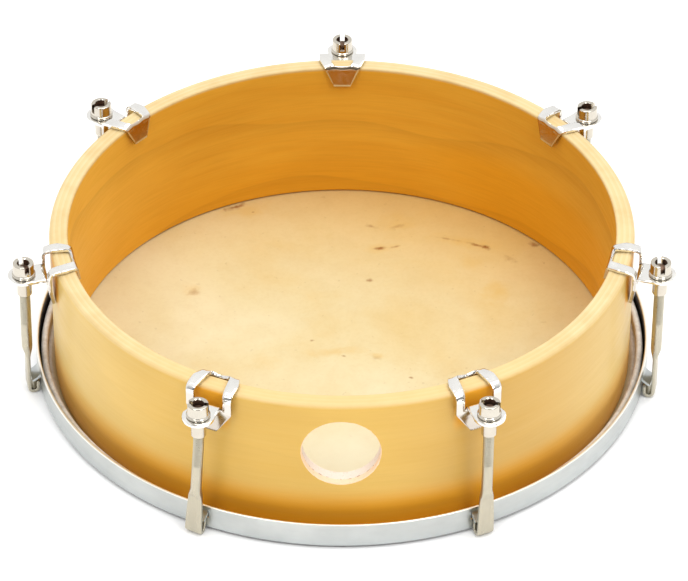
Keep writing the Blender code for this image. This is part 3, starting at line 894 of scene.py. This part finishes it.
def hide_path():
    """The hide's middle line (r, z), from the face's centre to its tucked edge."""
    off = GAP + SKIN / 2
    leaves = radians(SKIN_LEAVES)
    path = run([(0, SKIN / 2)], (bearing[0], SKIN / 2), steps=30)
    path += arc(bearing, BEARING_ROUND + off, -90, SKIN_LEAVES - 90, steps=5)[1:]

    under = flesh_low.z - off
    turn_height = under - SKIN_FILLET * (1 - cos(leaves))
    turn_radius = path[-1][0] + (turn_height - path[-1][1]) * cos(leaves) / sin(leaves)
    path = run(path, (turn_radius, turn_height), steps=5)
    fillet = (turn_radius + SKIN_FILLET * sin(leaves), under - SKIN_FILLET)
    path += arc(fillet, SKIN_FILLET, 90 + SKIN_LEAVES, 90, steps=4)[1:]

    outer = flesh_outer + off - WRAP_ROUND
    inner = flesh_outer - FLESH_WIDTH - SKIN / 2 + WRAP_ROUND
    high = flesh_high.z + off - WRAP_ROUND
    path = run(path, (outer, under), steps=4)
    path += arc((outer, under + WRAP_ROUND), WRAP_ROUND, -90, 0, steps=5)[1:]
    path = run(path, (outer + WRAP_ROUND, high), steps=5)
    path += arc((outer, high), WRAP_ROUND, 0, 90, steps=5)[1:]
    path += arc((inner, high), WRAP_ROUND, 90, 180, steps=5)
    return run(path, (inner - WRAP_ROUND, high - TUCK_TAIL), steps=3)


def make_hide():
    """The hide, from its playing face to the edge tucked round the flesh hoop."""
    path = hide_path()
    profile = thicken(path, SKIN)
    profile[0] = (0, 0)
    profile[-1] = (0, SKIN)
    hide = loose("hide_head", turned("hide_head", profile, closed=False))
    pucker_tuck(hide.data)
    smooth(hide.data, HIDE_SHARP_EDGE)
    dress(hide, "head_hide", ["drum_head", "head_tuck"], hide_look())
    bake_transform(hide)


def pucker_tuck(mesh):
    """Small puckers where the hide was drawn round the flesh hoop."""
    for vertex in mesh.vertices:
        spot = vertex.co
        share = min(max((spot.z - flesh_low.z) / (flesh_high.z - flesh_low.z), 0), 1)
        out = Vector((spot.x, spot.y, 0)).normalized()
        wave = noise.noise(spot * PUCKERS_PER_METRE)
        wave += FINE_PUCKER * noise.noise(spot * FINE_PER_METRE)
        vertex.co = spot + (out * PUCKER_OUT + Vector((0, 0, PUCKER_UP))) * PUCKER * share * wave


def hoop_profile():
    """The counter hoop's section (r, z): flange, bend and a band with rounded edges."""
    flange_top = hoop_bottom + HOOP_SHEET
    inner_bend = flange_top + HOOP_INNER_BEND
    edge = hoop_top - HOOP_EDGE_ROUND
    profile = [(flange_inner, hoop_bottom + HOOP_EDGE_ROUND), (flange_inner + HOOP_EDGE_ROUND, hoop_bottom)]
    profile = run(profile, (hoop_outer - HOOP_BEND, hoop_bottom), steps=4)
    profile += arc((hoop_outer - HOOP_BEND, hoop_bottom + HOOP_BEND), HOOP_BEND, -90, 0, steps=7)[1:]
    profile = run(profile, (hoop_outer, edge), steps=6)
    profile += arc((hoop_outer - HOOP_EDGE_ROUND, edge), HOOP_EDGE_ROUND, 0, 90, steps=4)[1:]
    profile += arc((hoop_inner + HOOP_EDGE_ROUND, edge), HOOP_EDGE_ROUND, 90, 180, steps=4)
    profile = run(profile, (hoop_inner, inner_bend), steps=6)
    profile += arc((hoop_inner - HOOP_INNER_BEND, inner_bend), HOOP_INNER_BEND, 0, -90, steps=4)[1:]
    return profile + [(flange_inner, flange_top)]


def window_outline():
    """The opening (r, z) that a tongue leaves in the band."""
    inside, outside = hoop_inner - HOOP_SHEET, hoop_outer + HOOP_SHEET
    low, high = hoop_top - WINDOW_BOTTOM_DROP, hoop_top - WINDOW_TOP_DROP
    return [(inside, low), (outside, low), (outside, high), (inside, high)]


def tongue_outline():
    """A tongue's sheet (r, z), from the band above its window to the hook's blade."""
    middle = (hoop_inner + hoop_outer) / 2
    root = hoop_top - TONGUE_ROOT_DROP
    tip_height = hoop_top - WINDOW_BOTTOM_DROP + TONGUE_SHEET / 2
    tip = (rod_axis - BLADE_THICK_HALF - TONGUE_SHEET / 2, tip_height)
    hang = (middle, root - TONGUE_HANG)
    swing = (middle + TONGUE_SWING, tip_height + TONGUE_DIP)
    return thicken(curve(((middle, root), hang, swing, tip), TONGUE_STEPS), TONGUE_SHEET)


def make_counter_hoop():
    """Galvanised angle-section band with a tongue lanced out of it at each hook."""
    hoop = loose("steel_hoop", turned("steel_hoop", hoop_profile()))
    windows, tongues = bmesh.new(), bmesh.new()
    for lug_turn, shift in zip(lug_turns, FOOT_SHIFTS):
        turn = lug_turn + shift / rod_axis
        add_prism(windows, window_outline(), TONGUE_HALF + TONGUE_SLOT, turn)
        add_prism(tongues, tongue_outline(), TONGUE_HALF, turn)
    combine(hoop, to_mesh("tongue_windows", windows), "DIFFERENCE")
    combine(hoop, to_mesh("tongues", tongues), "UNION")
    smooth(hoop.data)
    dress(hoop, "hoop_steel", ["counter_hoop"], hoop_look())
    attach(hoop, "hoop_assembly")


def section(centre, down, half_width, half_thick, squareness=ROUND, groove=None):
    """A ring across the hook: round, or squarer like a bar; groove cuts into it."""
    ring = []
    for i in range(HOOK_SIDES):
        a = tau * i / HOOK_SIDES
        depth = groove(a) if groove else 0
        side = copysign(abs(cos(a)) ** (2 / squareness), cos(a)) * (half_width - depth)
        face = copysign(abs(sin(a)) ** (2 / squareness), sin(a)) * (half_thick - depth)
        ring.append((centre[0] - down[1] * face, side, centre[1] + down[0] * face))
    return ring


def thread_groove(height):
    """The depth of the thread by angle round the rod, at a height."""
    fade = min(max((height - THREAD_END) / THREAD_FADE, 0), 1)

    def groove(angle):
        turn = (height / THREAD_PITCH - angle / tau) % 1
        return THREAD_DEPTH * fade * min(THREAD_STEEPNESS * (1 - abs(2 * turn - 1)), 1)
    return groove


def thread_rings():
    """The rod, from its chamfered top to the end of its thread."""
    tip = ROD_RADIUS - ROD_CHAMFER
    start = rod_top - ROD_CHAMFER
    rings = [section((rod_axis, rod_top), DOWN, tip, tip)]
    for i in range(round((start - THREAD_END) / THREAD_PITCH * THREAD_STEPS) + 1):
        height = start - i * THREAD_PITCH / THREAD_STEPS
        rings.append(section((rod_axis, height), DOWN, ROD_RADIUS, ROD_RADIUS, groove=thread_groove(height)))
    return rings


def shoulder_rings():
    """The shoulder, where the round rod is flattened into the blade."""
    rings = []
    for t in shares(SHOULDER_STEPS):
        ease = t * t * (3 - 2 * t)
        height = between(SHOULDER_TOP, BLADE_TOP, t)
        half_width = between(ROD_RADIUS, BLADE_TOP_HALF, ease)
        half_thick = between(ROD_RADIUS, BLADE_THICK_HALF, ease)
        squareness = between(ROUND, BLADE_SQUARENESS, ease)
        rings.append(section((rod_axis, height), DOWN, half_width, half_thick, squareness))
    return rings


def blade_ring(centre, down, half_width=BLADE_HALF, inset=0):
    """A ring across the blade."""
    return section(centre, down, half_width - inset, BLADE_THICK_HALF - inset, BLADE_SQUARENESS)


def blade_rings():
    """The blade, the bend at its foot and the lip behind the hoop's tongue."""
    lip_axis = hoop_outer + LIP_OUT
    bend = (rod_axis - lip_axis) / 2
    bend_height = hook_bottom + BLADE_THICK_HALF + bend
    rings = []
    for t in shares(BLADE_STEPS, 1):
        half_width = between(BLADE_TOP_HALF, BLADE_HALF, sin(t * pi / 2))
        rings.append(blade_ring((rod_axis, between(BLADE_TOP, bend_height, t)), DOWN, half_width))
    foot = arc((rod_axis - bend, bend_height), bend, 0, -180, FOOT_STEPS)
    for spot, t in zip(foot[1:], shares(FOOT_STEPS, 1)):
        a = -pi * t
        rings.append(blade_ring(spot, (sin(a), -cos(a))))
    rings.append(blade_ring((lip_axis, LIP_TOP - LIP_ROUND), UP))
    rings.append(blade_ring((lip_axis, LIP_TOP), UP, inset=LIP_ROUND))
    return rings


def hook_mesh():
    """Threaded rod, flattened below into a blade with a hooked end."""
    mesh = lofted("hook_rod", thread_rings() + shoulder_rings() + blade_rings())
    # The rod inside the nut takes the second finish, the painted bore shade
    second_finish(mesh, lambda face: face.center.z > ear_top)
    smooth(mesh, METAL_SHARP_EDGE)
    return mesh


def leaning(mesh, shift):
    """A copy of the hook, bent below its nut so that its foot stands shift to one side."""
    start = nut_bottom - LEAN_GAP
    lean = asin(shift / (start - LEAN_BEND / 2 - LIP_TOP))
    made = mesh.copy()
    for vertex in made.vertices:
        out, across, height = vertex.co
        drop = max(start - height, 0)
        share = min(drop / LEAN_BEND, 1)
        turn = lean * share
        aside = sin(turn) * (drop - LEAN_BEND * share / 2)
        rise = drop * (1 - cos(turn))
        vertex.co = (out, aside + across * cos(turn), height + rise + across * sin(turn))
    return made


def bracket_path():
    """The bracket's wall side (r, z), from the inner tab over the rim to the outer tab."""
    inside = shell_inner - GAP
    outside = shell_radius + GAP
    over = rim + GAP
    leg = outside + LEG_STANDOFF
    inner_top = inside + INNER_BEND
    outer_top = leg - OUTER_BEND
    root = ear_top - EAR_FOLD
    path = run([(inside - INNER_TAB_LEAN, rim - INNER_TAB_LENGTH)], (inside, over - INNER_BEND), ROW_BEND)
    path += arc((inner_top, over - INNER_BEND), INNER_BEND, 180, 90, ROW_TOP - ROW_BEND)[1:]
    for t in shares(ROW_OUTER - ROW_TOP, 1):
        path.append((between(inner_top, outer_top, t), over + ARM_BOW * sin(pi * t)))
    path += arc((outer_top, over - OUTER_BEND), OUTER_BEND, 90, 0, ROW_LEG - ROW_OUTER)[1:]
    path = run(path, (leg, root), ROW_ROOT - ROW_LEG)
    path = run(path, (leg, root - TAPER_BELOW_FOLD), ROW_TAPER - ROW_ROOT)
    return run(path, (outside, bracket_bottom), ROW_END - ROW_TAPER)


def half_at(halves, row):
    """A half-width at a row, between the rows where it is given."""
    for (low, first), (high, second) in zip(halves, halves[1:]):
        if row <= high:
            return between(first, second, (row - low) / (high - low))
    return halves[-1][1]


def on_wall(r, across, z):
    """A point on a curve about Z, with across measured at the shell's outside."""
    a = across / shell_radius
    return (r * cos(a), r * sin(a), z)


def bend_wave(row, across):
    """How far the sheet is pressed up beside the window, near the inner bend."""
    near = max(1 - abs(row - ROW_TOP) / (ROW_MIDDLE - ROW_TOP), 0)
    share = min(abs(across) / half_at(SHEET_HALVES, row) / BEND_WAVE_WIDTH, 1)
    return BEND_WAVE * near * sin(pi * share) ** 2


def bracket_point(path, row, across):
    """A point of the sheet, at a row and a distance across it."""
    low = min(int(row), len(path) - 2)
    (low_r, low_z), (high_r, high_z) = path[low:low + 2]
    share = row - low
    z = between(low_z, high_z, share) + bend_wave(row, across)
    return on_wall(between(low_r, high_r, share), across, z)


def add_inner_tab(bm, path):
    """The inner tab, up to the rounded end of the window."""
    rows = []
    for i in range(ROW_WINDOW_SIDE + 1):
        row = []
        for t in shares(TAB_STEPS, -TAB_STEPS):
            share = sin(pi / 2 * t)
            bow = max(1 - abs(share) ** WINDOW_ROUNDNESS, 0) ** (1 / WINDOW_ROUNDNESS)
            dip = (ROW_WINDOW_SIDE - ROW_WINDOW_END) * bow
            at = i * (1 - dip / ROW_WINDOW_SIDE)
            row.append(bracket_point(path, at, share * half_at(WINDOW_HALVES, at)))
        rows.append(row)
    add_grid(bm, rows)


def add_arms(bm, path):
    """The sheet on either side of the window, down to the outer tab's end."""
    for side in (-1, 1):
        rows = []
        for row in range(ROW_END + 1):
            window, half = half_at(WINDOW_HALVES, row), half_at(SHEET_HALVES, row)
            places = [side * between(window, half, t) for t in shares(ARM_STEPS)]
            rows.append([bracket_point(path, row, across) for across in places])
        add_grid(bm, rows)


def add_outer_tab(bm, path):
    """The outer tab, below the ear's root."""
    rows = []
    for row in range(ROW_ROOT, ROW_END + 1):
        window = half_at(WINDOW_HALVES, row)
        ear = window * EAR_HALF / half_at(WINDOW_HALVES, ROW_ROOT)
        places = [-window] + [share * ear for share in EAR_SHARES] + [window]
        rows.append([bracket_point(path, row, across) for across in places])
    add_grid(bm, rows)


def add_ear(bm, path):
    """The ear, bent out of the leg: a fold, a widening neck and a round end."""
    leg, root = path[ROW_ROOT]
    neck = leg + EAR_FOLD
    rows = [[on_wall(leg, share * EAR_HALF, root) for share in EAR_SHARES]]
    for r, z in arc((neck, root), EAR_FOLD, 180, 90, EAR_STEPS)[1:]:
        rows.append([(r, share * EAR_HALF, z) for share in EAR_SHARES])
    for t in shares(NECK_STEPS, 1):
        half = between(EAR_HALF, EAR_RADIUS, t * t)
        rows.append([(between(neck, rod_axis, t), share * half, ear_top) for share in EAR_SHARES])
    for t in shares(EAR_END_STEPS, 1):
        row = []
        for share in EAR_SHARES:
            a = share * pi / 2
            across = between(share * EAR_RADIUS, EAR_RADIUS * sin(a), t)
            row.append((rod_axis + EAR_RADIUS * cos(a) * t, across, ear_top))
        rows.append(row)
    add_grid(bm, rows)


def bracket_mesh():
    """One pressed sheet: inner tab, two bowed arms, outer tab and ear."""
    path = bracket_path()
    bm = bmesh.new()
    add_inner_tab(bm, path)
    add_arms(bm, path)
    add_outer_tab(bm, path)
    add_ear(bm, path)
    bracket = loose("bracket_form", to_mesh("bracket_form", bm))
    highest = max(bracket.data.polygons, key=lambda face: face.center.z)
    outward = 1 if highest.normal.z > 0 else -1
    reshape(bracket, "SOLIDIFY", thickness=BRACKET_SHEET, use_even_offset=True, offset=outward)
    hole = arc((0, 0), EAR_HOLE, 0, 360, NUT_SIDES)[:-1]
    rings = [[(rod_axis + x, y, ear_top + z) for x, y in hole] for z in (-2 * BRACKET_SHEET, BRACKET_SHEET)]
    combine(bracket, lofted("ear_hole", rings), "DIFFERENCE")
    reshape(bracket, "BEVEL", width=BRACKET_EDGE, segments=2, limit_method="ANGLE",
            angle_limit=METAL_SHARP_EDGE, harden_normals=True)
    mesh = mesh_of(bracket)
    mesh.shade_smooth()
    return mesh


def nut_profile():
    """The nut's section (r, z): sleeve, collar and rounded head."""
    collar_top = nut_seat + NUT_COLLAR_HEIGHT
    profile = [
        (NUT_BORE, nut_bottom + NUT_EDGE), (NUT_BORE + NUT_EDGE, nut_bottom),
        (NUT_SLEEVE - NUT_EDGE, nut_bottom), (NUT_SLEEVE, nut_bottom + NUT_EDGE), (NUT_SLEEVE, nut_seat),
    ]
    profile += arc((NUT_COLLAR - NUT_EDGE, nut_seat + NUT_EDGE), NUT_EDGE, -90, 0, steps=3)
    profile += arc((NUT_COLLAR - NUT_ROUND, collar_top - NUT_ROUND), NUT_ROUND, 0, 80, steps=4)
    profile += [(NUT_HEAD, collar_top + NUT_EDGE)]
    profile += arc((NUT_HEAD - NUT_ROUND, nut_top - NUT_ROUND), NUT_ROUND, 0, 90, steps=5)
    return profile + [(NUT_BORE + NUT_EDGE, nut_top), (NUT_BORE, nut_top - NUT_EDGE)]


def slot_cutter(turn):
    """A bar across the nut's head, turned about its axis."""
    half = NUT_SLOT_WIDTH / 2
    floor, over = nut_top - NUT_SLOT_DEPTH, nut_top + NUT_EDGE
    corners = [(-half, floor), (half, floor), (half, over), (-half, over)]
    turned_to = Matrix.Rotation(turn, 3, "Z")
    rings = [[turned_to @ Vector((x, y, z)) for y, z in corners] for x in (-2 * NUT_HEAD, 2 * NUT_HEAD)]
    return lofted("nut_slot", rings)


def in_nut_bore(face):
    """Whether a face is in the bore of a nut on the Z axis."""
    return hypot(face.center.x, face.center.y) < NUT_BORE + WELD and face.center.z > nut_bottom + NUT_EDGE


def nut_mesh(turn):
    """Sleeve nut at the rods' radius, with a slot across its head."""
    nut = loose("nut_form", turned("nut_form", nut_profile(), NUT_SIDES))
    combine(nut, slot_cutter(turn), "DIFFERENCE")
    mesh = mesh_of(nut)
    # The bore takes the second finish, the painted bore shade
    second_finish(mesh, in_nut_bore)
    mesh.transform(Matrix.Translation((rod_axis, 0, 0)))
    smooth(mesh)
    return mesh


def make_hardware():
    """Brackets, hooks and nuts, and the hidden flesh hoop's finish."""
    chrome = metal_look("bright_chrome", BRACKET_TONE, 0.12, clouds=120, scratches=500, wear=0.3,
                        places=bracket_places)
    nickel = metal_look("satin_nickel", HOOK_TONE, 0.34, clouds=(160, 160, 60), scratches=(900, 900, 90))
    plate = metal_look("nut_chrome", NUT_TONE, 0.16, clouds=200, scratches=600, wear=0.3)
    # Painted shade for the nuts' bores and the rod inside them
    bore_shade = metal_look("bore_shade_metal", BORE_SHADE_TONE, 0.5, clouds=300, scratches=900, wear=0.8)
    steel = metal_look("plain_steel", FLESH_TONE, 0.4, clouds=60, scratches=(40, 40, 900))
    saddle = bracket_mesh()
    saddles = [saddle.copy() for turn in lug_turns]
    at_lugs("saddle", saddles, "bracket_plate", "bracket_{}", "shell_body", chrome)
    hook = hook_mesh()
    hooks = [leaning(hook, shift) for shift in FOOT_SHIFTS]
    at_lugs("hook_rod", hooks, "hook_nickel", "tension_hook_{}", "hoop_assembly", nickel, bore_shade)
    nuts = [nut_mesh(radians(turn)) for turn in NUT_TURNS]
    at_lugs("sleeve_nut", nuts, "nut_chrome", "tuning_nut_{}", "nut_{}", plate, bore_shade)
    flesh = frame["nodes"]["flesh_hoop"]
    flesh.data.materials.clear()
    flesh.data.materials.append(steel)


def studio_world():
    """A white backdrop, a dim room behind the camera and a faint ceiling."""
    world = bpy.data.worlds.new("studio")
    world.use_nodes = True
    studio = Nodes(world.node_tree)
    way = studio.node("SeparateXYZ", {0: studio.node("TexCoord").outputs["Generated"]}).outputs
    backdrop, ceiling = (studio.step(way[axis], *fade) for axis, *fade in WORLD_FADES)
    background = world.node_tree.nodes["Background"].inputs
    background["Color"].default_value = WHITE
    studio.feed(background["Strength"], studio.math("ADD", backdrop, ceiling))
    return world


def make_floor():
    """A sheet of white paper just under the hooks' feet."""
    bm = bmesh.new()
    bmesh.ops.create_grid(bm, x_segments=1, y_segments=1, size=FLOOR_HALF)
    floor = loose("floor", to_mesh("floor", bm))
    floor.location.z = hook_bottom - FLOOR_GAP
    paper = Look("white_paper", Base_Color=FLOOR_TONE, Roughness=0.9, Specular_IOR_Level=0.1,
                 Emission_Color=FLOOR_TONE, Emission_Strength=FLOOR_GLOW)
    floor.data.materials.append(paper.material)


def make_lights():
    """Three round soft boxes aimed at the drum, and the studio round it."""
    bpy.context.scene.view_settings.view_transform = "Standard"
    bpy.context.scene.world = studio_world()
    for name, place, size, power in LIGHTS:
        light = bpy.data.lights.new(name, "AREA")
        light.shape = "DISK"
        light.size = size
        light.energy = power
        lamp = loose(name, light)
        lamp.location = place
        lamp.rotation_euler = (-Vector(place)).to_track_quat("-Z", "Y").to_euler()


def make_camera():
    """The photographer's camera, above the drum's front."""
    lens = bpy.data.cameras.new("camera")
    lens.sensor_width = SENSOR_MM
    lens.lens = SENSOR_MM * FOCAL_PIXELS / PHOTO_WIDTH_PIXELS
    camera = loose("camera", lens)
    camera.matrix_world = (
        Matrix.Translation(CAMERA_TARGET)
        @ Matrix.Rotation(pi / 2 - CAMERA_RISE, 4, "X")
        @ Matrix.Translation((0, 0, CAMERA_DISTANCE))
        @ Matrix.Rotation(CAMERA_ROLL, 4, "Z")
    )
    bpy.context.scene.camera = camera


make_floor()
make_lights()
make_camera()
make_shell()
make_hide()
make_counter_hoop()
make_hardware()
